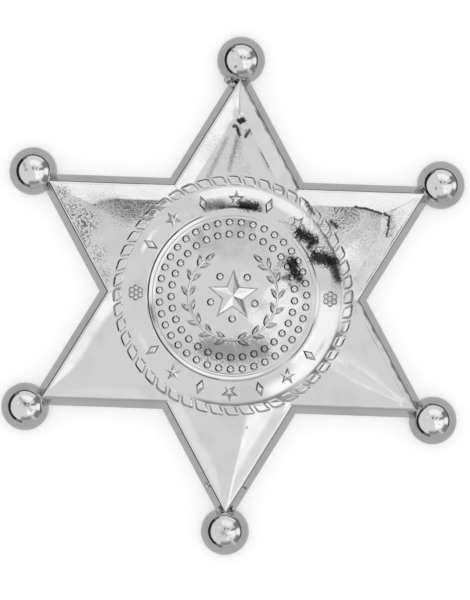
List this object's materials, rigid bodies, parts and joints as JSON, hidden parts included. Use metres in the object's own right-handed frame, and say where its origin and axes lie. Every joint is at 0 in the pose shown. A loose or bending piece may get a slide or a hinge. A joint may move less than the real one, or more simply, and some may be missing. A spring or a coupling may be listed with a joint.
{
  "type": "sheriff star badge",
  "caption": "Bright six-pointed star badge with ball tips, a rope-bordered medallion, a hollow back and a brooch pin.",
  "frame": {"origin": "middle of the star on the plane of its back rim, which lies on the ground", "axes": "+Z out of the face, +Y towards the top ball, +X to the right as the face is looked at"},
  "size_m": [0.0668, 0.076, 0.0052],
  "materials": {
    "bright_plating": "bright vacuum-plated silver over moulded plastic, slightly rippled, with small moulding flaws",
    "pin_steel": "nickel-plated steel with fine rolling marks"
  },
  "bodies": {
    "root": {"star_body": "bright_plating", "brooch_pin": "pin_steel"}
  },
  "joints": []
}
